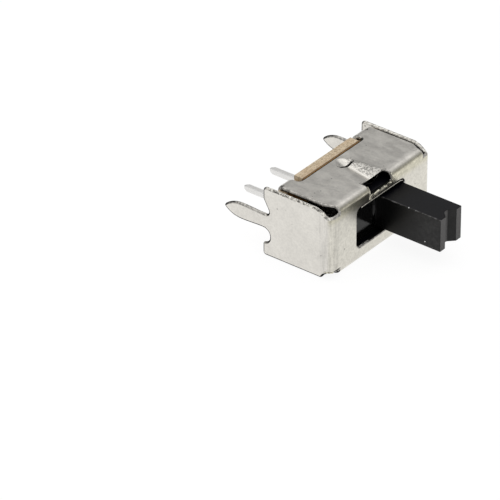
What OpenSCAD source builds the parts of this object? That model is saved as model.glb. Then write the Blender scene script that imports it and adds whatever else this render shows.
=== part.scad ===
// Slide switch with two positions and three pins, lying on one of its long sides.
// X runs along the body, -Y is the side the lever comes out of, +Y the side of
// the pins, and +Z is up. The origin is under the middle of the whole switch.

/* [Sheet cover] */
// Length of the body over its two end plates
body_len = 11.8; // [11.6:0.1:12]
// Width of the body over its two long side plates
body_w = 5.6; // [5.5:0.1:5.7]
// Thickness of the folded sheet
sheet_t = 0.3; // [0.28:0.01:0.32]
// Outer radius of the folds
fold_r = 0.5; // [0.45:0.05:0.55]
// Length of each long side plate
side_len = 10.58; // [10.4:0.02:10.7]
// How far the side plates sit towards the +X end
side_shift = 0.14; // [0:0.02:0.16]
// Depth of each long side plate from the front face to its rear edge
side_depth = 5.1; // [5.08:0.01:5.12]
// Depth of the end plates to the shoulders that stand on a circuit board
end_depth = 6; // [5.9:0.05:6.05]
// Radius of the corners of the window
window_corner_r = 0.45; // [0.4:0.05:0.6]
// Height of the window across the body
window_h = 3.24; // [3.1:0.02:3.3]

/* [Fixing tongues] */
// Width of a fixing tongue at its widest
tongue_w = 1.3; // [1.2:0.05:1.4]
// Distance from the front face to the tips of the tongues
tongue_reach = 9.52; // [9.2:0.02:9.6]
// Length of the pointed end of a tongue
tongue_point = 1.5; // [1.3:0.1:1.7]
// Radius of the round scoop below the root of a tongue
scoop_r = 0.6; // [0.5:0.02:0.62]

/* [Claws] */
// Width of a claw where it leaves the side plate
claw_w = 1.15; // [1.05:0.05:1.2]
// Width of a claw at its tip
claw_tip_w = 0.9; // [0.8:0.05:1]
// Length of a claw across the back of the base board
claw_len = 1.45; // [1.3:0.05:1.6]

/* [Detent] */
// Length along the body of the slot across the fold
slot_len = 2.56; // [2.4:0.02:2.6]
// Depth of the V-shaped dent beside the slot
dent_deep = 0.42; // [0.38:0.02:0.46]
// Depth of the V-shaped dent at its rear end
dent_shallow = 0.2; // [0.18:0.02:0.24]
// Turn of the dent away from the pins' direction, in degrees
dent_skew = 5; // [3:1:6]

/* [Base board] */
// Thickness of the base board
board_t = 0.83; // [0.8:0.01:0.86]
// Length of the base board between the end plates
board_len = 10.4; // [10.2:0.1:10.6]
// Length of the board's tab in the notch of each side plate
tab_len = 6.6; // [6.4:0.1:6.7]
// Radius of the arched holes around the pins
arch_r = 0.7; // [0.65:0.01:0.72]

/* [Terminals] */
// Distance between neighbouring pins
pin_pitch = 3; // [2.9:0.05:3.1]
// Width of a pin along the body
pin_w = 0.4; // [0.35:0.05:0.5]
// Thickness of the sheet that the terminals are cut from
pin_t = 0.45; // [0.35:0.05:0.45]
// Distance from the front face to the pin tips
pin_reach = 9.9; // [9.7:0.1:10]
// Distance from the front face to the end of the third pin, which is short
short_reach = 7.5; // [7.3:0.1:7.7]
// Width of the flat contact blade inside
blade_w = 2; // [1.8:0.1:2.1]

/* [Slider] */
// Distance the lever moves from one end to the other
travel = 2.75; // [2.7:0.05:2.8]
// Width of the lever along the body
lever_w = 2.52; // [2.4:0.02:2.56]
// Height of the lever across the body
lever_h = 2.64; // [2.5:0.02:2.7]
// Distance that the lever stands out of the front face
lever_reach = 5.15; // [4.5:0.05:5.5]
// Width of the groove across the lever's tip
groove_w = 1.32; // [1.2:0.02:1.4]
// Depth of that groove
groove_depth = 0.5; // [0.4:0.05:0.55]

/* [Contact clip] */
// Thickness of the spring strip
clip_t = 0.2; // [0.15:0.05:0.2]
// Length of the clip along the body
clip_len = 3.1; // [3:0.05:3.2]

/* [Hidden] */
$fn = 48;
half_len = body_len / 2;
half_w = body_w / 2;
inner_w = half_w - sheet_t;
mid_y = (pin_reach - lever_reach) / 2;
relief_x = 4.96;
relief_z = 2.28;
corner_cut = 1.35;
lower_cut = 0.85;
widest_y = tongue_reach - tongue_point;
window_len = travel + lever_w + 0.24;
board_back = 5.23;
board_front = board_back - board_t;
notch_half = tab_len / 2 + 0.45;
notch_r = 0.3;
claw_x = notch_half + claw_w / 2;
claw_bend = 0.4;
fold_y = board_back - claw_bend;
shoulder_cut = 0.15;
small_scoop_r = 0.3;
slot_back = 0.82;
dent_run = 2.45;
dent_slope = atan((dent_deep - dent_shallow) / dent_run);
slope_tilt = 16;
board_half = inner_w - 0.1;
tab_edge = 0.05;
arch_centre = 0.1;
pin_z = -0.06;
blade_front = 2.6;
slider_half = half_len - sheet_t - travel / 2 - 0.05;
shield_y = 0.7;
slider_back = board_front - 0.15;
slider_top = inner_w - dent_deep - 0.07;
slider_side = inner_w - 0.08;
pocket_y = 1.6;
clip_gap = 0.02;

// Puts a shape drawn about the front face's centre where the lying switch has it
module lying() {
    translate([0, -mid_y, half_w]) children();
}

// Extrudes a drawing of Y and Z along X, centred
module along_x(length) {
    rotate([90, 0, 90]) linear_extrude(height = length, center = true) children();
}

// Extrudes a drawing of X and Z along Y, from y0 to y1
module along_y(y0, y1) {
    translate([0, y1, 0]) rotate([90, 0, 0]) linear_extrude(height = y1 - y0) children();
}

// Block with round corners at its front, drawn from its front edge at zero depth
module round_front(half, depth, r) {
    translate([-half, r]) square([2 * half, depth - r]);
    translate([r - half, 0]) square([2 * (half - r), r + 0.01]);
    for (side = [-1, 1]) translate([side * (half - r), r]) circle(r = r);
}

// Section of the sheet folded around the front, open at the rear
module fold_section(half, depth) {
    difference() {
        round_front(half, depth, fold_r);
        translate([0, sheet_t]) round_front(half - sheet_t, depth, fold_r - sheet_t);
    }
}

// Outline that is the same on both sides of its middle line, from one side's points
module mirrored_outline(points) {
    count = len(points);
    polygon([for (i = [0 : 2 * count - 1])
        i < count ? points[i] : [-points[2 * count - 1 - i][0], points[2 * count - 1 - i][1]]]);
}

// Outline of the long side plates and of the front between them, seen from above,
// cut back where the claws' folds begin
module side_outline() {
    claw_side = notch_half + claw_w;
    difference() {
        translate([side_shift, 0]) mirrored_outline([[relief_x, -0.1], [relief_x, 0.48],
            [side_len / 2, 1.17], [side_len / 2, side_depth - 0.15], [side_len / 2 - 0.15, side_depth]]);
        translate([-claw_side, fold_y]) square([2 * claw_side, 1]);
        translate([-notch_half, board_front + notch_r]) square([2 * notch_half, 2]);
        translate([notch_r - notch_half, board_front]) square([2 * (notch_half - notch_r), 1]);
        for (side = [-1, 1])
            translate([side * (notch_half - notch_r), board_front + notch_r]) circle(r = notch_r);
    }
}

// Outline of an end plate, seen from the end of the body, with its fixing tongue,
// a round scoop below the tongue's root and a slanted one above it, and less taken
// off its lower front corner than off its upper one
module end_outline() {
    point_r = (pow(tongue_point, 2) + pow(tongue_w / 2, 2)) / tongue_w;
    root = tongue_w / 2 - 0.07;
    difference() {
        union() {
            mirror([1, -1]) mirrored_outline([[relief_z, -0.1], [relief_z, 0.3], [half_w - 0.14, 0.9],
                [half_w, corner_cut], [half_w, end_depth - shoulder_cut], [half_w - shoulder_cut, end_depth],
                [root, end_depth], [root, end_depth + 0.3],
                [tongue_w / 2, widest_y - 0.4], [tongue_w / 2, widest_y]]);
            polygon([[lower_cut, -half_w], [corner_cut, -half_w], [corner_cut, -relief_z], [0.45, -relief_z]]);
            intersection() {
                point_circle(point_r, 1);
                point_circle(point_r, -1);
            }
        }
        translate([end_depth, -root - scoop_r]) circle(r = scoop_r);
        translate([end_depth - 0.2, root + small_scoop_r]) circle(r = small_scoop_r);
        translate([end_depth, root]) polygon([[-0.2, 0], [-0.46, 0.45], [0.1, 1.46], [0.1, 0]]);
    }
}

// One of the two large circles whose overlap is the point of a tongue
module point_circle(r, side) {
    translate([widest_y, side * (tongue_w / 2 - r)]) circle(r = r);
}

// Groove with straight flanks, its deepest line rising towards the rear, and behind
// its end a round slope up to the plate's surface; all of it lowered by drop
module dent_groove(drop) {
    flank = 0.95 * slot_len / 2 / dent_deep;
    slope_r = 1.15;
    translate([0, slot_back, half_w - drop]) rotate([0, 0, -dent_skew]) {
        intersection() {
            translate([0, 0, -dent_deep]) rotate([dent_slope, 0, 0])
                translate([0, 4, 0]) rotate([90, 0, 0]) linear_extrude(height = 4.15)
                    polygon([[0, 0], [2 * flank, 2], [-2 * flank, 2]]);
            translate([-3, -1, -1]) cube([6, dent_run + 1, 3]);
        }
        intersection() {
            translate([0, dent_run, slope_r - dent_shallow]) rotate([slope_tilt - 90, 0, 0])
                cylinder(r = slope_r, h = 4, center = true);
            translate([-1, dent_run - 0.05, -1]) cube([2, 2, 3]);
        }
    }
}

// Claw section: out of the side plate, round the fold and across the board's back
module claw_section() {
    fold_z = inner_w - claw_bend;
    translate([board_front - 0.5, inner_w]) square([fold_y - board_front + 0.5, sheet_t]);
    translate([board_back, half_w - claw_len]) square([sheet_t, fold_z - half_w + claw_len]);
    intersection() {
        difference() {
            translate([fold_y, fold_z]) circle(r = claw_bend + sheet_t);
            translate([fold_y, fold_z]) circle(r = claw_bend);
        }
        translate([fold_y, fold_z]) square(1);
    }
}

// Claw seen from behind, narrower at its tip and with its corners taken off
module claw_outline() {
    root = claw_w / 2;
    tip = claw_tip_w / 2;
    tip_z = half_w - claw_len;
    polygon([[-root, half_w + 0.1], [-root, half_w - 0.4], [-tip, tip_z + 0.2], [-tip + 0.15, tip_z],
        [tip - 0.15, tip_z], [tip, tip_z + 0.2], [root, half_w - 0.4], [root, half_w + 0.1]]);
}

module claw() {
    intersection() {
        along_x(2 * claw_w) claw_section();
        along_y(0, 7) claw_outline();
    }
}

module window() {
    w = window_len / 2 - window_corner_r;
    h = window_h / 2 - window_corner_r;
    along_y(-1, sheet_t + 0.1) {
        square([2 * w, window_h], center = true);
        square([window_len, 2 * h], center = true);
        for (x = [-w, w], z = [-h, h]) translate([x, z]) circle(r = window_corner_r);
    }
}

// One folded sheet: front with the window, side plates with claws and the dent,
// and end plates with the fixing tongues
module cover() {
    color([0.82, 0.81, 0.78]) lying() difference() {
        union() {
            intersection() {
                along_x(body_len) mirror([1, -1]) fold_section(half_w, side_depth + 1);
                translate([0, 0, -half_w - 1]) linear_extrude(height = body_w + 2) side_outline();
            }
            intersection() {
                translate([0, 0, -half_w]) linear_extrude(height = body_w)
                    fold_section(half_len, tongue_reach + 1);
                along_x(body_len + 1) end_outline();
            }
            for (x = [-claw_x, claw_x], side = [0, 1]) translate([x, 0, 0]) mirror([0, 0, side]) claw();
            intersection() {
                dent_groove(sheet_t);
                translate([-slot_len / 2, slot_back, 0]) cube([slot_len, 3.5, inner_w + 0.01]);
            }
        }
        window();
        dent_groove(0);
        translate([-slot_len / 2, -1, relief_z]) cube([slot_len, slot_back + 1, 2]);
    }
}

// Lever seen from above, with the groove across its tip
module lever_outline() {
    half = lever_w / 2;
    soft = 0.04;
    bottom_r = (groove_w / 2 - groove_depth) / (sqrt(2) - 1);
    flank = groove_w / 2 - bottom_r / sqrt(2);
    difference() {
        polygon([[-half, shield_y + 0.5], [-half, soft - lever_reach], [soft - half, -lever_reach],
            [half - soft, -lever_reach], [half, soft - lever_reach], [half, shield_y + 0.5]]);
        translate([0, -lever_reach]) {
            polygon([[-groove_w / 2 - 0.1, -0.1], [groove_w / 2 + 0.1, -0.1],
                [groove_w / 2 - flank, flank], [flank - groove_w / 2, flank]]);
            translate([0, groove_depth - bottom_r]) circle(r = bottom_r);
        }
    }
}

// Two low rails that run behind the front face, above and below the window
module rails() {
    rail_z = slider_top - 0.09;
    along_x(2 * slider_half - 0.4)
        for (side = [-1, 1]) translate([sheet_t + 0.05, side * rail_z - 0.09]) square([1, 0.18]);
}

// Block inside the cover, seen from the end: guides, shield, blade channel
module block_section() {
    difference() {
        union() {
            translate([shield_y, -slider_side]) square([slider_back - shield_y, slider_side + slider_top]);
            translate([slider_back - 0.35, 0]) square([0.35, slider_side]);
        }
        translate([blade_front - 0.15, pin_z - pin_t]) square([3, 2 * pin_t]);
    }
}

// Moulded slider: the lever, the shield behind the window and the block with
// two detent notches and the pocket of the contact clip
module slider() {
    color([0.13, 0.13, 0.14]) lying() translate([travel / 2, 0, 0]) {
        translate([0, 0, -lever_h / 2]) linear_extrude(height = lever_h) lever_outline();
        rails();
        difference() {
            along_x(2 * slider_half) block_section();
            translate([-clip_len / 2 - 0.05, pocket_y, pin_z - 1.1]) cube([clip_len + 0.1, 4, 2.2]);
            for (x = [-travel / 2, travel / 2])
                along_y(shield_y - 0.1, slider_back - 0.35) translate([x, slider_top])
                    polygon([[-1.1, 0.01], [-0.2, -0.35], [0.2, -0.35], [1.1, 0.01]]);
        }
    }
}

// Arched hole around a pin, flat beside the pin
module arch() {
    intersection() {
        translate([0, arch_centre + pin_z]) circle(r = arch_r);
        translate([-1, pin_z + pin_t / 2 - 2]) square(2);
    }
}

// What a claw's fold presses off the board's rear corner
module pressed_corner() {
    along_x(claw_w + 0.2) polygon([[board_back - 0.4, inner_w], [board_back + 0.1, inner_w],
        [board_back + 0.1, inner_w - 0.5]]);
}

// Punched laminate board with a tab in the notch of each side plate
module base_board() {
    tab = half_w - tab_edge;
    color([0.66, 0.48, 0.28]) lying() difference() {
        union() {
            along_x(board_len) translate([board_front, -board_half]) square([board_t, 2 * board_half]);
            along_x(tab_len) polygon([[board_front, -tab], [board_front + tab_edge, -half_w],
                [board_back, -half_w], [board_back, half_w], [board_front + tab_edge, half_w],
                [board_front, tab]]);
        }
        for (n = [-1, 0, 1]) translate([n * pin_pitch, 0, 0]) along_y(board_front - 1, board_back + 1) arch();
        for (x = [-claw_x, claw_x], side = [0, 1]) translate([x, 0, 0]) mirror([0, 0, side]) pressed_corner();
    }
}

// Terminal: flat blade inside, narrow pin through the board, with a blunted tip
module terminal(n, reach) {
    color([0.80, 0.80, 0.79]) lying() translate([n * pin_pitch, 0, pin_z]) intersection() {
        translate([0, 0, -pin_t / 2]) linear_extrude(height = pin_t)
            mirrored_outline([[blade_w / 2 - 0.25, blade_front], [blade_w / 2, blade_front + 0.25],
                [blade_w / 2, board_front], [pin_w / 2, board_front], [pin_w / 2, reach - 0.35],
                [pin_w / 2 - 0.12, reach]]);
        along_x(2 * blade_w) mirror([1, -1])
            mirrored_outline([[pin_t, 0], [pin_t, reach - 0.3 - 1.5 * pin_t], [pin_t / 2 - 0.1, reach]]);
    }
}

module terminal_a() {
    terminal(-1, pin_reach);
}

module terminal_common() {
    terminal(0, pin_reach);
}

module terminal_b() {
    terminal(1, short_reach);
}

// Straight piece of spring strip with round ends, seen edge on
module strip(a, b) {
    along = (b - a) / norm(b - a) * clip_t / 2;
    across = [-along[1], along[0]];
    polygon([a + across, a - across, b - across, b + across]);
    for (end = [a, b]) translate(end) circle(d = clip_t);
}

// Spring clip, U-shaped, that pinches two neighbouring blades
module contact_clip() {
    base_y = pocket_y + clip_t / 2;
    pinch_z = pin_t / 2 + clip_gap + clip_t / 2;
    color([0.78, 0.62, 0.36]) lying() translate([travel / 2, 0, pin_z]) along_x(clip_len) {
        strip([base_y, -0.8], [base_y, 0.8]);
        for (side = [-1, 1]) {
            strip([base_y, side * 0.8], [3.2, side * pinch_z]);
            strip([3.2, side * pinch_z], [3.75, side * (pinch_z + 0.25)]);
        }
    }
}

cover();
slider();
base_board();
terminal_a();
terminal_common();
terminal_b();
contact_clip();
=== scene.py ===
import math
import bmesh
import bpy
import numpy as np
from mathutils import Matrix, Vector
from mathutils.bvhtree import BVHTree


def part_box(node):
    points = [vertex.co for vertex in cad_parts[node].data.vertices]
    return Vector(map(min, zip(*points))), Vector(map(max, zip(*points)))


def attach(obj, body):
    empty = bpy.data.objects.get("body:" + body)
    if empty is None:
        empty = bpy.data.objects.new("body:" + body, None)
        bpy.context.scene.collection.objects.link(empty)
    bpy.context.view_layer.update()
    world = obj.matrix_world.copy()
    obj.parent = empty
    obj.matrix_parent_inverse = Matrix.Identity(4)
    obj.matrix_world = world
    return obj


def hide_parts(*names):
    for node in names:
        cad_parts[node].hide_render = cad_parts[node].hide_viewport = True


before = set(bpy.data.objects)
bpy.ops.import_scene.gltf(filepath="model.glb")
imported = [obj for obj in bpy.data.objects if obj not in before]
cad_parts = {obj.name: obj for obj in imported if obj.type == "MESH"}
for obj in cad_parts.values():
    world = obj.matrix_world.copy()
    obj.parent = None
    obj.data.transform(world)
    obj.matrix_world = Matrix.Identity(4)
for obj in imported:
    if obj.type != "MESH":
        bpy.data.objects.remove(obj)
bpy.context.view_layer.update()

MM = 0.001
cover_low, cover_high = [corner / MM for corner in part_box("cover")]
FRONT_Y = cover_low.y                       # the front face, in mm
LEVER_TIP_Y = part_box("slider")[0].y / MM    # the lever's tip
MID_Z = (cover_low.z + cover_high.z) / 2    # the middle of the body's width, in mm
TOP_Z = cover_high.z                        # the upper side plate
LEVER_SIDE_X = 0.115                        # the lever's side that faces -X
LEVER_HALF = 1.32                           # half of the lever's height
SLOT_HALF = 1.3                             # half of the slot's length
SLOT_FLOOR = 2.28                           # the CAD slot's floor, up from the middle
DENT_START = 0.82                           # where the dent leaves the slot, back from the front
DENT_END = 2.3                              # where its valley starts to rise again, along it
DENT_TURN = math.radians(5.0)               # how far the dent is turned
FOLD = 0.5                                  # outer radius of the folds
FOLD_Z = 2.3                                # the long folds' centre, up from the middle
PLATE_X = 5.4                               # the end folds' centre, past which the end plates are
BOARD_FRONT = 4.5                           # the board's inner face, back from the front
SHARP = 28.0                                # edges that bend more than this, in degrees, are rounded
WARM = (1.0, 0.967, 0.900)                  # the plating's faint yellow
STRAW = (1.0, 0.965, 0.855)                 # and a stronger one, on the front


# Shader maths

class Wire:
    """A node's output, so that an expression on it adds the nodes that work it out."""

    def __init__(self, finish, socket):
        self.finish = finish
        self.socket = socket

    def _maths(self, operation, *values):
        return self.finish.node("ShaderNodeMath", {"operation": operation}, dict(enumerate(values)))

    def __add__(self, other):
        return self._maths("ADD", self, other)

    def __sub__(self, other):
        return self._maths("SUBTRACT", self, other)

    def __mul__(self, other):
        return self._maths("MULTIPLY", self, other)

    def __rsub__(self, other):
        return self._maths("SUBTRACT", other, self)

    def __abs__(self):
        return self._maths("ABSOLUTE", self)

    __radd__ = __add__
    __rmul__ = __mul__

    def lowest(self, other):
        return self._maths("MINIMUM", self, other)

    def highest(self, other):
        return self._maths("MAXIMUM", self, other)

    def ramp(self, low, high, to_low=0.0, to_high=1.0):
        """Runs smoothly from to_low at low to to_high at high, and stays there outside."""
        return self.finish.node("ShaderNodeMapRange", {"interpolation_type": "SMOOTHSTEP"},
                                {"Value": self, "From Min": low, "From Max": high,
                                 "To Min": to_low, "To Max": to_high})


class Finish:
    """One material, or the sky: the nodes of its pattern, and the shader's own settings."""

    def __init__(self, name, home=bpy.data.materials, shader="Principled BSDF", **constants):
        self.material = home.new(name)
        self.material.use_nodes = True
        self.tree = self.material.node_tree
        self.shader = self.tree.nodes[shader]
        for socket, value in constants.items():
            self.shader.inputs[socket.replace("_", " ")].default_value = value

    def node(self, kind, settings=None, inputs=None, output=0):
        """Adds a node: its settings first, then its sockets' values or links; gives back one output."""
        node = self.tree.nodes.new(kind)
        for name, value in (settings or {}).items():
            setattr(node, name, value)
        for name, value in (inputs or {}).items():
            if isinstance(value, Wire):
                self.tree.links.new(value.socket, node.inputs[name])
            else:
                node.inputs[name].default_value = value
        return Wire(self, node.outputs[output])

    def place(self):
        """Where the shaded point is, in the part's own frame, in millimetres."""
        spot = self.node("ShaderNodeTexCoord", output="Object")
        return self.node("ShaderNodeVectorMath", {"operation": "SCALE"}, {0: spot, "Scale": 1000.0})

    def parts(self, vector):
        """The three numbers of a vector."""
        first = self.node("ShaderNodeSeparateXYZ", None, {0: vector})
        outputs = first.socket.node.outputs
        return [Wire(self, outputs[i]) for i in range(3)]

    def noise(self, where, scale, detail=2.0, roughness=0.5, distortion=0.0, stretch=None):
        """Cloudy noise from 0 to 1; stretch scales the place first, for grain along one way."""
        if stretch:
            where = self.node("ShaderNodeVectorMath", {"operation": "MULTIPLY"}, {0: where, 1: stretch})
        return self.node("ShaderNodeTexNoise", None, {"Vector": where, "Scale": scale, "Detail": detail,
                                                      "Roughness": roughness, "Distortion": distortion})

    def dots(self, where, scale):
        """Distance, in cells, from the nearest of scattered points; scale is cells to the millimetre."""
        return self.node("ShaderNodeTexVoronoi", None, {"Vector": where, "Scale": scale}, "Distance")

    def mix(self, share, first, second):
        """Colour between first and second; share is 0 to 1."""
        return self.node("ShaderNodeMix", {"data_type": "RGBA"}, {0: share, 6: first, 7: second}, 2)

    def tinted(self, level, tint):
        """A colour: the tint times a level from 0 to 1."""
        return self.node("ShaderNodeVectorMath", {"operation": "SCALE"}, {0: tint, "Scale": level})

    def feed(self, **values):
        """Links worked-out values to the shader's sockets."""
        for socket, value in values.items():
            self.tree.links.new(value.socket, self.shader.inputs[socket.replace("_", " ")])

    def relief(self, height, depth_mm, before=None):
        """Bump from a height of 0 to 1, depth_mm deep."""
        inputs = {"Height": height, "Distance": depth_mm * MM, "Strength": 1.0}
        if before is not None:
            inputs["Normal"] = before
        return self.node("ShaderNodeBump", None, inputs)


def grey(level, tint=(1.0, 1.0, 1.0)):
    """A colour as a shader takes it: the tint times a level."""
    return (level * tint[0], level * tint[1], level * tint[2], 1.0)


# Finishes

def dent_places(x, y):
    """How far a point is across the turned dent, from its valley, and along it, from the slot, in mm."""
    back = y - (FRONT_Y + DENT_START)
    across = x * math.cos(DENT_TURN) - back * math.sin(DENT_TURN)
    along = x * math.sin(DENT_TURN) + back * math.cos(DENT_TURN)
    return across, along


def plated_sheet():
    """Plated steel sheet: soft clouds, grain and small pits, a rounder start to the long folds, a rough
    flank in the dent, and a painted dark reflection on the front between the fold and the window."""
    f = Finish("plated_sheet", Metallic=1.0)
    p = f.place()
    x, y, z = f.parts(p)
    nz = f.parts(f.node("ShaderNodeNewGeometry", output="Normal"))[2]
    clouds = f.noise(p, 0.55, 3.0, 0.6)
    mottle = f.noise(p, 2.4, 3.0, 0.6)
    grain = f.noise(p, 6.5, 2.0, 0.55)
    fine = f.noise(p, 24.0, 2.0, 0.5)
    rubbed = f.noise(p, 1.3, 4.0, 0.65, 0.3, (1.0, 0.5, 1.0))
    pits = f.dots(p, 1.3).ramp(0.05, 0.09, 1.0, 0.0)
    streaks = f.noise(p, 1.0, 3.0, 0.6, 0.0, (7.0, 7.0, 0.35))
    near_fold = y.ramp(FRONT_Y + 0.5, FRONT_Y + 1.5, 1.0, 0.0) * x.ramp(-5.3, -4.3, 1.0, 0.0)
    front = y.ramp(FRONT_Y + 0.1, FRONT_Y + 0.4, 1.0, 0.0)
    # painted dark reflection: the front strip between the window and the fold is darkened and mottled
    painted_dark_reflection = front * z.ramp(TOP_Z - 1.3, TOP_Z - 0.6) * z.ramp(TOP_Z - 0.25, TOP_Z - 0.1, 1.0, 0.0)
    level = clouds.ramp(0.35, 0.65, 0.74, 0.79) - mottle.ramp(0.35, 0.65) * 0.03
    level = level - grain.ramp(0.35, 0.65) * (0.05 + front * 0.04) - painted_dark_reflection * mottle.ramp(0.3, 0.6) * 0.12
    level = level + (rubbed.ramp(0.35, 0.65) - 0.5) * (nz.ramp(0.8, 0.9) * 0.17)
    level = level - streaks.ramp(0.40, 0.62) * near_fold * 0.12 - pits * 0.33
    across, along = dent_places(x, y)
    flank = across.ramp(0.12, 0.22) * (along * 0.26 + across).ramp(1.15, 1.45, 1.0, 0.0)
    flank = flank * along.ramp(-0.1, 0.1) * along.ramp(DENT_END + 0.2, DENT_END + 0.7, 1.0, 0.0)
    flank = flank * z.ramp(TOP_Z - 0.6, TOP_Z - 0.5)
    crumple = f.noise(p, 7.0, 3.0, 0.65, 0.3)
    level = level + flank * crumple.ramp(0.40, 0.55, -0.22, 0.26)
    tint = f.mix(front * 0.8, WARM + (1.0,), STRAW + (1.0,))
    # browner tint of the painted dark reflection
    tint = f.mix(painted_dark_reflection * 0.8, tint, (1.0, 0.95, 0.74, 1.0))
    smooth = f.relief(grain * 0.6 + fine * 0.4, 0.008)
    rolled = f.relief(y.ramp(FRONT_Y + 0.25, FRONT_Y + 0.80) * nz.ramp(0.0, 0.3), 0.045, smooth)
    f.feed(Base_Color=f.tinted(level, tint), Roughness=0.25 + clouds * 0.06 + grain * 0.08 + pits * 0.3,
           Normal=f.relief(crumple * flank, 0.06, rolled))
    return f.material


def cut_steel():
    """Punched edge of the sheet, uneven in its grain, with a painted highlight where it faces up, most of all
    on the end plates, whose outer rim has painted shade. Painted shade darkens the slot and the rims that
    face down or back, and a painted highlight runs along the dent's valley."""
    f = Finish("cut_steel", Metallic=1.0)
    p = f.place()
    x, y = f.parts(p)[:2]
    nx, ny, nz = f.parts(f.node("ShaderNodeNewGeometry", output="True Normal"))
    grain = f.noise(p, 5.0, 4.0, 0.65)
    plates = abs(x).ramp(PLATE_X - 0.05, PLATE_X + 0.05)
    ends = plates * y.ramp(FRONT_Y + 5.6, FRONT_Y + 6.2, 1.0, 0.0) * nz.ramp(0.1, 0.2)
    outer = ends * (nx * x).ramp(0.5, 1.0) * y.ramp(FRONT_Y + 0.3, FRONT_Y + 0.6)
    level = grain.ramp(0.35, 0.65, 0.30, 0.70)
    # painted highlight on the up-facing rims of the end plates, and painted shade on their outer side
    level = level + ends * grain.ramp(0.40, 0.60, 0.20, 0.38)
    level = level - outer * grain.ramp(0.35, 0.60, 0.38, 0.02)
    across, along = dent_places(x, y)
    # painted highlight: a bright line along the dent's valley
    valley = abs(across).ramp(0.12, 0.16, 1.0, 0.0) * along.ramp(0.0, 0.1)
    valley = valley * along.ramp(DENT_END, DENT_END + 0.3, 1.0, 0.0)
    level = level.highest(valley * nz.ramp(0.6, 0.8) * 0.92)
    # painted shade: the slot's floor and the rims that face down or back are made near black
    slot = abs(x).ramp(SLOT_HALF, SLOT_HALF + 0.04, 1.0, 0.0)
    slot = slot * y.ramp(FRONT_Y + 0.3, FRONT_Y + 0.35, 1.0, 0.0)
    rims = (1.0 - plates) * y.ramp(FRONT_Y + 4.9, FRONT_Y + 5.1, 1.0, 0.0)
    rims = rims + plates * abs(nx).ramp(0.05, 0.15)
    below = nz.ramp(-0.25, -0.05, 1.0, 0.0).highest(ny.ramp(0.1, 0.3))
    dark = (below * rims).highest(nz.ramp(0.5, 0.7) * slot)
    level = level.highest(0.06) * (1.0 - dark) + dark * 0.02
    f.feed(Base_Color=f.tinted(level, WARM), Roughness=0.4 + grain * 0.15 + ends * 0.2 + dark * 0.2,
           Normal=f.relief(grain, 0.03))
    return f.material


def torn_steel():
    """Burrs of the punched sheet: bright and dark in small patches."""
    f = Finish("torn_steel", Metallic=1.0)
    p = f.place()
    patches = f.noise(p, 4.5, 3.0, 0.65, 0.3)
    f.feed(Base_Color=f.tinted(patches.ramp(0.40, 0.56, 0.10, 0.88), (1.0, 0.96, 0.80)),
           Roughness=0.3 + patches * 0.2, Normal=f.relief(patches, 0.05))
    return f.material


def dust():
    """White dust."""
    f = Finish("dust", Roughness=0.9)
    f.feed(Base_Color=f.tinted(f.noise(f.place(), 20.0).ramp(0.3, 0.7, 0.6, 0.9), (1.0, 1.0, 1.0)))
    return f.material


def black_plastic():
    """Black moulded plastic: dark near the window and blotchy, with a paler matt tip that is partly painted
    light, a pale edge line of wear and painted highlight, and a painted bluish sheen on faces that look up.
    """
    f = Finish("black_plastic", IOR=1.3)
    p = f.place()
    x, y, z = f.parts(p)
    nx, ny, nz = f.parts(f.node("ShaderNodeNewGeometry", output="Normal"))
    clouds = f.noise(p, 1.2, 3.0, 0.6)
    grain = f.noise(p, 9.0, 3.0, 0.6)
    blotches = f.noise(p, 3.0, 4.0, 0.7)
    # paler, rougher tip: a matt face, and partly painted light on the faces that look to the front
    tip = ny.ramp(-0.95, -0.8, 1.0, 0.0) * y.ramp(LEVER_TIP_Y + 0.5, LEVER_TIP_Y + 0.8, 1.0, 0.0)
    inside = y.ramp(FRONT_Y - 0.1, FRONT_Y + 0.1)
    shield = inside * abs(z - MID_Z).ramp(1.65, 1.75, 1.0, 0.0)
    out = y.ramp(LEVER_TIP_Y + 0.5, FRONT_Y - 1.5, 1.0, 0.0) * nx.ramp(-0.9, -0.5, 1.0, 0.0)
    # pale line along the upper near edge: partly wear, partly a painted highlight
    edge_wear_and_highlight = abs(x - LEVER_SIDE_X).ramp(0.04, 0.07, 1.0, 0.0)
    edge_wear_and_highlight = edge_wear_and_highlight * abs(z - (MID_Z + LEVER_HALF)).ramp(0.04, 0.07, 1.0, 0.0)
    level = 0.002 + clouds * 0.003 + out * blotches.ramp(0.35, 0.65, 0.010, 0.028)
    level = level + edge_wear_and_highlight * blotches.ramp(0.45, 0.62, 0.02, 0.16) * (1.0 - inside)
    level = level.highest(tip * (0.7 + grain * 0.6) * 0.12)
    # painted reflection: a bluish sheen on the faces that look up
    tint = f.mix(nz.ramp(0.5, 0.8) * (1.0 - edge_wear_and_highlight), (1.0, 0.97, 0.96, 1.0), (0.70, 0.70, 1.20, 1.0))
    f.feed(Base_Color=f.tinted(level, tint), Roughness=0.24 + grain * 0.14 + tip * 0.3 - shield * 0.22,
           Normal=f.relief(grain, 0.006))
    return f.material


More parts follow.
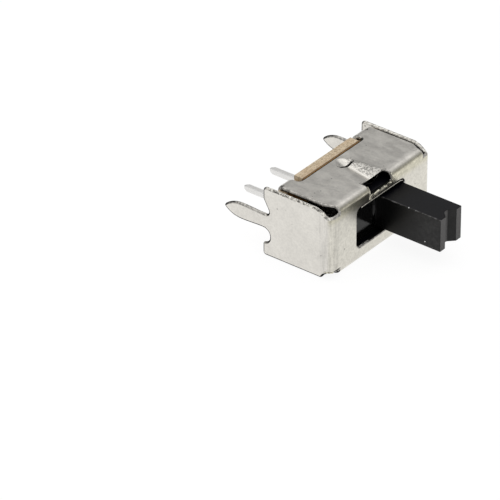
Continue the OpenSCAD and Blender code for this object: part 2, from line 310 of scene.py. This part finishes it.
def laminate():
    """Brown paper laminate: ambery faces, and paler fibrous edges where it was punched, with painted shade on
    the edges where they meet the board's front face.
    """
    f = Finish("laminate", IOR=1.5)
    p = f.place()
    y = f.parts(p)[1]
    ny = f.parts(f.node("ShaderNodeNewGeometry", output="Normal"))[1]
    face = abs(ny).ramp(0.6, 0.8)
    # painted shade: the edges at and in front of the board's front face are made near black
    painted_gap_shade = y.ramp(FRONT_Y + BOARD_FRONT - 0.03, FRONT_Y + BOARD_FRONT + 0.03, 1.0, 0.0)
    clouds = f.noise(p, 0.8, 4.0, 0.6)
    fibres = f.noise(p, 4.5, 3.0, 0.6, 0.4, (1.0, 2.2, 1.0))
    fine = f.noise(p, 16.0, 3.0, 0.6)
    holes = f.dots(p, 1.6).ramp(0.06, 0.12, 1.0, 0.0)
    amber = f.mix(clouds.ramp(0.3, 0.7), (0.38, 0.17, 0.045, 1.0), (0.58, 0.31, 0.095, 1.0))
    pale = f.mix(fibres.ramp(0.40, 0.60), (0.46, 0.36, 0.23, 1.0), (0.80, 0.66, 0.48, 1.0))
    pale = f.mix(clouds.ramp(0.45, 0.65) * 0.5, pale, (0.62, 0.45, 0.28, 1.0))
    pale = f.mix(fine.ramp(0.55, 0.68) * 0.5, pale, (0.72, 0.62, 0.46, 1.0))
    pale = f.mix(holes * 0.7, pale, (0.16, 0.10, 0.05, 1.0))
    pale = f.mix(painted_gap_shade * 0.85, pale, (0.10, 0.05, 0.02, 1.0))
    tone = f.mix(face, pale, amber)
    f.feed(Base_Color=tone, Roughness=0.75 - face * 0.3 + fine * 0.1,
           Normal=f.relief(fibres * 0.6 + fine * 0.4, 0.03))
    return f.material


def torn_fibres():
    """Pale torn paper fibres of the laminate."""
    f = Finish("torn_fibres", Roughness=0.85)
    p = f.place()
    fibres = f.noise(p, 8.0, 4.0, 0.7, 0.5)
    tone = f.mix(fibres.ramp(0.3, 0.65), (0.42, 0.24, 0.08, 1.0), (0.80, 0.68, 0.46, 1.0))
    f.feed(Base_Color=tone, Normal=f.relief(fibres, 0.05))
    return f.material


def tinned():
    """Bright tin plating on the pins."""
    f = Finish("tinned", Metallic=1.0)
    p = f.place()
    drawn = f.noise(p, 8.0, 3.0, 0.6, 0.0, (1.0, 0.15, 1.0))
    clouds = f.noise(p, 1.5, 3.0, 0.6)
    tone = f.mix(clouds, grey(0.80, (1.0, 0.99, 0.97)), grey(0.88, (1.0, 0.99, 0.97)))
    f.feed(Base_Color=tone, Roughness=0.38 + drawn * 0.2, Normal=f.relief(drawn, 0.004))
    return f.material


def spring_strip():
    """Plain spring bronze of the contact clip."""
    f = Finish("spring_strip", Metallic=1.0)
    p = f.place()
    drawn = f.noise(p, 8.0, 3.0, 0.6, 0.0, (0.2, 1.0, 1.0))
    tone = f.mix(drawn, (0.62, 0.42, 0.2, 1.0), (0.72, 0.52, 0.28, 1.0))
    f.feed(Base_Color=tone, Roughness=0.28 + drawn * 0.15)
    return f.material


# Pieces

def softened(node, name, body, width, materials, cut_through=0.0, rim=0, reshape=None):
    """Copy of a CAD node whose sharp edges are rounded by width, in mm, in the material numbered rim.

    It is worked in millimetres, and flat faces are joined first. Where the solid behind a face is deeper than
    cut_through, in mm, that face gets the second material."""
    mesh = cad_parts[node].data.copy()
    mesh.transform(Matrix.Scale(1 / MM, 4))
    mesh.materials.clear()
    for material in materials:
        mesh.materials.append(material)
    work = bmesh.new()
    work.from_mesh(mesh)
    bmesh.ops.remove_doubles(work, verts=work.verts, dist=2e-4)
    if reshape:
        reshape(work)
    bmesh.ops.dissolve_limit(work, angle_limit=math.radians(0.1), verts=work.verts, edges=work.edges)
    solid = BVHTree.FromBMesh(work)
    sharp = []
    for edge in work.edges:
        bend = math.degrees(abs(edge.calc_face_angle(0.0)))
        edge.smooth = not 10 < bend < SHARP
        if bend >= SHARP:
            sharp.append([tuple(vertex.co) for vertex in edge.verts])
    for face in work.faces:
        face.smooth = True
        face.material_index = 0
        if cut_through:
            inside = face.verts[0].co.lerp(face.calc_center_median(), 0.2) - face.normal * 0.01
            depth = solid.ray_cast(inside, -face.normal)[3]
            face.material_index = int(depth is not None and depth > cut_through)
    work.to_mesh(mesh)
    work.free()
    piece = bpy.data.objects.new(name, mesh)
    bpy.context.scene.collection.objects.link(piece)
    bevel = piece.modifiers.new("edges", "BEVEL")
    bevel.limit_method = "ANGLE"
    bevel.angle_limit = math.radians(SHARP)
    bevel.width = width
    bevel.segments = 2
    bevel.material = rim
    bevel.use_clamp_overlap = False
    rounded = worked_out(piece)
    box = [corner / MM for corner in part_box(node)]
    settle(rounded, {tuple(vertex.co) for vertex in mesh.vertices}, np.array(sharp), 1.6 * width, box)
    piece.data = rounded
    weighted = piece.modifiers.new("shading", "WEIGHTED_NORMAL")
    weighted.weight = 100
    weighted.keep_sharp = True
    piece.data = worked_out(piece)
    piece.data.name = name
    piece.data.transform(Matrix.Scale(MM, 4))
    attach(piece, body)
    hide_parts(node)
    return piece


def worked_out(piece):
    """The mesh that a piece's modifiers make; they are taken off."""
    mesh = bpy.data.meshes.new_from_object(piece.evaluated_get(bpy.context.evaluated_depsgraph_get()))
    piece.modifiers.clear()
    return mesh


def settle(shaped, old, edges, reach, box):
    """Ends the spikes that rounding leaves where edges nearly line up, and keeps the mesh in the box.

    A corner that isn't an old one, and lies further than reach from every sharp edge, is a spike's end. It
    goes to the nearest of the corners joined to it that isn't one. The spikes are the keys of a dictionary,
    which keeps their order, so that each run gives the same mesh."""
    starts, along = edges[:, 0], edges[:, 1] - edges[:, 0]
    length2 = np.maximum((along ** 2).sum(1), 1e-12)
    work = bmesh.new()
    work.from_mesh(shaped)
    spikes = {}
    for vertex in work.verts:
        if tuple(vertex.co) not in old:
            point = np.array(vertex.co)
            share = np.clip(((point - starts) * along).sum(1) / length2, 0, 1)
            if np.linalg.norm(starts + share[:, None] * along - point, axis=1).min() > reach:
                spikes[vertex] = True
    while spikes:
        ends = [(vertex, edge.other_vert(vertex)) for vertex in spikes for edge in vertex.link_edges]
        ends = [(spike, other) for spike, other in ends if other not in spikes]
        spike, other = min(ends, key=lambda pair: (pair[0].co - pair[1].co).length)
        spike.co = other.co
        del spikes[spike]
    for vertex in work.verts:
        vertex.co = [min(max(vertex.co[i], box[0][i]), box[1][i]) for i in range(3)]
    bmesh.ops.dissolve_degenerate(work, edges=work.edges, dist=1e-5)
    work.to_mesh(shaped)
    work.free()


def lower_slot(work):
    """Cuts the slot 0.2 mm further down the front than the CAD has it, as the photograph shows it."""
    for vertex in work.verts:
        x, y, z = vertex.co
        if abs(x) < SLOT_HALF and y < FRONT_Y + 0.35 and abs(z - MID_Z - SLOT_FLOOR) < 0.01:
            vertex.co.z -= 0.2


def closed_skin(name, skins, body, material):
    """One mesh of closed skins: each is rings of points, in mm, joined in turn and capped at its ends."""
    points = np.concatenate([rings.reshape(-1, 3) for rings in skins]) * MM
    faces = []
    start = 0
    for rings in skins:
        count, around = rings.shape[:2]
        number = start + np.arange(count * around).reshape(count, around)
        onward = np.roll(number, -1, axis=1)
        quads = np.stack([number[:-1], onward[:-1], onward[1:], number[1:]], -1)
        faces += quads.reshape(-1, 4).tolist()
        faces += [number[0, ::-1].tolist(), number[-1].tolist()]
        start += count * around
    mesh = bpy.data.meshes.new(name)
    mesh.from_pydata(points.tolist(), [], faces)
    mesh.shade_smooth()
    mesh.materials.append(material)
    work = bmesh.new()
    work.from_mesh(mesh)
    bmesh.ops.recalc_face_normals(work, faces=work.faces)
    work.to_mesh(mesh)
    work.free()
    piece = bpy.data.objects.new(name, mesh)
    bpy.context.scene.collection.objects.link(piece)
    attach(piece, body)
    return piece


def crumb(centre, size, seed):
    """Lumpy crumb: a ball whose radius at angles u, v is 1 + 0.3 sin(3u + a) sin(2v + b) + 0.2 sin(5u + c),
    stretched to size, with a, b and c from the seed."""
    a, b, c = np.random.default_rng(seed).uniform(0, 2 * math.pi, 3)
    v = np.linspace(0.12, math.pi - 0.12, 9)[:, None]
    u = np.linspace(0, 2 * math.pi, 14, endpoint=False)[None, :]
    radius = 1 + 0.3 * np.sin(3 * u + a) * np.sin(2 * v + b) + 0.2 * np.sin(5 * u + c) * np.sin(v)
    ball = np.stack([np.sin(v) * np.cos(u), np.sin(v) * np.sin(u), np.cos(v) + 0 * u], -1)
    return ball * radius[:, :, None] * np.array(size) / 2 + np.array(centre)


def crumbs_round_pins():
    """Torn fibres of the laminate, which stand out of the rear face on both sides of each pin."""
    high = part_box("base_board")[1] / MM
    skins = []
    rng = np.random.default_rng(4)
    for pin in ("a", "common", "b"):
        pin_low, pin_high = [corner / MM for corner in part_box("terminal_" + pin)]
        middle = (pin_low.x + pin_high.x) / 2
        level = (pin_low.z + pin_high.z) / 2
        for side in (-1, 1):
            for step in range(5):
                out = 0.45 + 0.2 * step + rng.uniform(-0.05, 0.05)
                up = 0.12 + 0.12 * (step % 3) + rng.uniform(-0.05, 0.08)
                size = rng.uniform(0.22, 0.42, 3) * (1.0, 0.9, 1.0)
                centre = (middle + side * out, high.y + 0.02, level + up)
                skins.append(crumb(centre, size, rng.integers(1000)))
    return closed_skin("torn_fibres", skins, "housing", torn_fibres())


def lumpy_rod(path, wide, high, lumps, seed):
    """Rings of a rod along a path of points, in mm. At s along the path and t round it, a ring is an ellipse
    of radii wide and high, times 1 + lumps (0.6 sin(9s + a + t/2) + 0.4 sin(17s + b - t)), with a and b from
    the seed, and the ends are pointed."""
    a, b = np.random.default_rng(seed).uniform(0, 2 * math.pi, 2)
    along = np.gradient(path, axis=0)
    steps = np.linalg.norm(np.diff(path, axis=0), axis=1)
    s = np.concatenate([[0], np.cumsum(steps)])[:, None]
    along = along / np.linalg.norm(along, axis=1)[:, None]
    side = np.cross(along, (0, 0, 1) if np.abs(along[:, 2]).max() < 0.9 else (1, 0, 0))
    side = side / np.linalg.norm(side, axis=1)[:, None]
    up = np.cross(side, along)
    turn = np.linspace(0, 2 * math.pi, 10, endpoint=False)[None, :]
    size = 1 + lumps * (0.6 * np.sin(9 * s + a + 0.5 * turn) + 0.4 * np.sin(17 * s + b - turn))
    size = size * np.clip(s * (s[-1] - s) * 8, 0.05, 1) ** 0.5
    across = (wide * size * np.cos(turn))[:, :, None]
    over = (high * size * np.sin(turn))[:, :, None]
    return path[:, None] + across * side[:, None] + over * up[:, None]


def straight(start, end, count=60):
    """Points from start to end; y is from the front face and z from the middle of the body, in mm."""
    return np.linspace(start, end, count) + (0, FRONT_Y, MID_Z)


def around_fold(x, low, turn):
    """Points down the outside of the long fold at x: round its circle, from turn degrees above its lower end,
    and straight down the front to the height low."""
    arc = np.radians(np.linspace(turn, 0, 25))
    down = np.linspace(FOLD_Z, low, 12)[1:]
    y = np.concatenate([FOLD - FOLD * np.cos(arc), 0 * down])
    z = np.concatenate([FOLD_Z + FOLD * np.sin(arc), down])
    return np.stack([x + 0 * y, y, z], -1) + (0, FRONT_Y, MID_Z)


def sheet_burrs():
    """Burrs that the punch left: a lumpy lip below the slot, one down each of its sides, one round the cut
    at the near end's lower corner, and one on the far end plate's upper corner."""
    lip = lumpy_rod(straight((-1.26, 0.02, 1.92), (1.26, 0.02, 1.95)), 0.06, 0.15, 0.45, 5)
    near = lumpy_rod(around_fold(-1.32, 1.72, 60), 0.04, 0.04, 0.4, 2)
    far = lumpy_rod(around_fold(1.34, 1.85, 60), 0.05, 0.05, 0.4, 6)
    turn = np.radians(np.linspace(-8, 85, 30))
    bend = np.stack([-PLATE_X - FOLD * np.cos(turn), FOLD - FOLD * np.sin(turn), 0 * turn - 2.19], -1)
    corner = lumpy_rod(bend + (0, FRONT_Y, MID_Z), 0.05, 0.05, 0.6, 9)
    ear = lumpy_rod(straight((5.76, 1.27, 2.34), (5.76, 0.46, 1.93), 24), 0.05, 0.07, 0.5, 3)
    skins = [lip, near, far, corner, ear]
    return closed_skin("punching_burrs", skins, "housing", torn_steel())


def window_thread(material):
    """Thin bright burr along the window's upper edge, thicker in the far corner."""
    thread = lumpy_rod(straight((-2.3, 0.02, 1.62), (2.35, 0.02, 1.62), 80), 0.05, 0.045, 0.15, 8)
    corner = lumpy_rod(straight((2.30, 0.06, 1.60), (2.66, 0.06, 1.46), 20), 0.09, 0.09, 0.1, 4)
    return closed_skin("window_burr", [thread, corner], "housing", material)


def dust_specks():
    """Three specks of dust on the lever's side: how far out and up they are, and their size."""
    specks = [(-2.37, 1.32, 0.09), (-2.95, 1.30, 0.06), (-3.83, -0.93, 0.10)]
    skins = []
    for seed, (out, up, size) in enumerate(specks):
        skins.append(crumb((LEVER_SIDE_X, FRONT_Y + out, MID_Z + up), (size, size, size), seed))
    return closed_skin("dust_specks", skins, "slide", dust())


def lever_flash(material):
    """Flash of the mould, a thin lumpy line along the lever's upper near edge, and the rounding in the corner
    between the lever's side and the shield behind the window."""
    level = LEVER_HALF - 0.005
    edge = straight((LEVER_SIDE_X, LEVER_TIP_Y - FRONT_Y + 0.1, level), (LEVER_SIDE_X, -0.3, level), 90)
    line = lumpy_rod(edge, 0.022, 0.022, 0.6, 3)
    return closed_skin("mould_flash", [line, corner_rounding()], "slide", material)


def corner_rounding(radius=0.2, shield=0.7):
    """Hollow quarter round between the lever's side and the shield: the arc's centre stands radius off both,
    and the first point of each of its two rings is just inside the corner."""
    arc = np.linspace(0, math.pi / 2, 9)
    x = np.append(LEVER_SIDE_X + 0.01, LEVER_SIDE_X - radius + radius * np.cos(arc))
    y = np.append(shield + 0.01, shield - radius + radius * np.sin(arc))
    levels = np.array([-1.29, 1.29])[:, None] + 0 * x
    return np.stack([x + 0 * levels, y + 0 * levels, levels], -1) + (0, FRONT_Y, MID_Z)


sheet_finish = plated_sheet()
plastic = black_plastic()
softened("cover", "sheet_cover", "housing", 0.13, [sheet_finish, cut_steel()],
         cut_through=0.4, rim=1, reshape=lower_slot)
softened("slider", "moulded_slider", "slide", 0.03, [plastic])
softened("base_board", "punched_board", "housing", 0.03, [laminate()])
pin_finish = tinned()
for end in ("a", "common", "b"):
    softened("terminal_" + end, "pin_" + end, "housing", 0.04, [pin_finish])
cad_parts["contact_clip"].data.materials.clear()
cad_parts["contact_clip"].data.materials.append(spring_strip())
crumbs_round_pins()
sheet_burrs()
window_thread(sheet_finish)
dust_specks()
lever_flash(plastic)


# Floor and light

def floor():
    """Pale floor: white where the camera or a reflection sees it, with the shadow kept."""
    half = 1.5
    mesh = bpy.data.meshes.new("floor")
    corners = [(-half, -half, 0), (half, -half, 0), (half, half, 0), (-half, half, 0)]
    mesh.from_pydata(corners, [], [(0, 1, 2, 3)])
    obj = bpy.data.objects.new("floor", mesh)
    bpy.context.scene.collection.objects.link(obj)
    f = Finish("pale_floor", Roughness=0.9)
    f.shader.inputs["Base Color"].default_value = grey(0.9)
    f.shader.inputs["Specular IOR Level"].default_value = 0.0
    rays = f.node("ShaderNodeLightPath").socket.node.outputs
    seen = Wire(f, rays["Is Camera Ray"]) + Wire(f, rays["Is Glossy Ray"])
    seen = seen + Wire(f, rays["Is Transmission Ray"])
    white = f.node("ShaderNodeEmission", None, {"Color": grey(1.0), "Strength": 1.07})
    lit = Wire(f, f.shader.outputs[0])
    both = f.node("ShaderNodeMixShader", None, {0: seen.lowest(1.0) * 0.85, 1: lit, 2: white})
    f.tree.links.new(both.socket, f.tree.nodes["Material Output"].inputs["Surface"])
    mesh.materials.append(f.material)


def sky():
    """Room light by height: dim near the horizon, and bright above, like a wide soft box."""
    low, high, edge = 0.32, 1.0, 0.70       # shares of the brightest, and the sine of the height between them
    f = Finish("studio", bpy.data.worlds, "Background", Strength=1.22)
    bpy.context.scene.world = f.material
    z = f.parts(f.node("ShaderNodeTexCoord", output="Generated"))[2]
    f.feed(Color=f.mix(z.ramp(edge - 0.09, edge + 0.09, low, high), grey(0.0), grey(1.0)))


def camera():
    """Long lens at the photograph's viewing angle."""
    data = bpy.data.cameras.new("camera")
    data.lens = 360
    data.sensor_width = 36
    data.clip_start, data.clip_end = 0.01, 10
    obj = bpy.data.objects.new("camera", data)
    turn, rise = math.radians(-52.0), math.radians(32.37)
    back = Vector((math.sin(turn) * math.cos(rise), -math.cos(turn) * math.cos(rise), math.sin(rise)))
    aim = Vector((-6.804, FRONT_Y + 6.448, 0.603)) * MM
    distance = 0.35454
    obj.location = aim + back * distance
    obj.rotation_euler = back.to_track_quat("Z", "Y").to_euler()
    bpy.context.scene.collection.objects.link(obj)
    bpy.context.scene.camera = obj


floor()
sky()
camera()
bpy.context.scene.view_settings.view_transform = "Standard"
